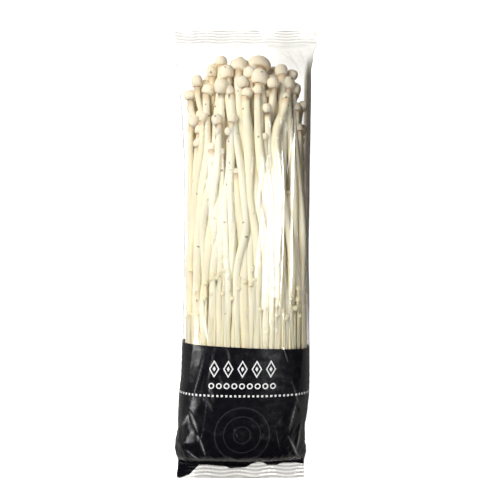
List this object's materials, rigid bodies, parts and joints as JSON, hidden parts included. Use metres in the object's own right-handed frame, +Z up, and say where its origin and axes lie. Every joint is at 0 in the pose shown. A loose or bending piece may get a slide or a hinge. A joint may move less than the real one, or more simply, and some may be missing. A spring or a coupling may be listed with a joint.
{
  "type": "enoki mushroom bunch",
  "caption": "Bunch of long thin pale mushroom stems with small round caps, in a clear film bag whose lower third is printed black and whose ends are sealed flat.",
  "frame": {"origin": "on the surface that the bag lies on, below the middle of the bag's bounding box", "axes": "+Y from the roots to the caps, +X to the right seen from above, +Z up from the surface that the bag lies on"},
  "size_m": [0.0612, 0.19, 0.0382],
  "materials": {
    "clear_film": "thin clear glossy film, printed black over its lower third",
    "mushroom_flesh": "ivory, faintly moist and fibrous"
  },
  "bodies": {
    "root": {"bag": "clear_film", "mushroom_bunch": "mushroom_flesh"}
  },
  "joints": []
}
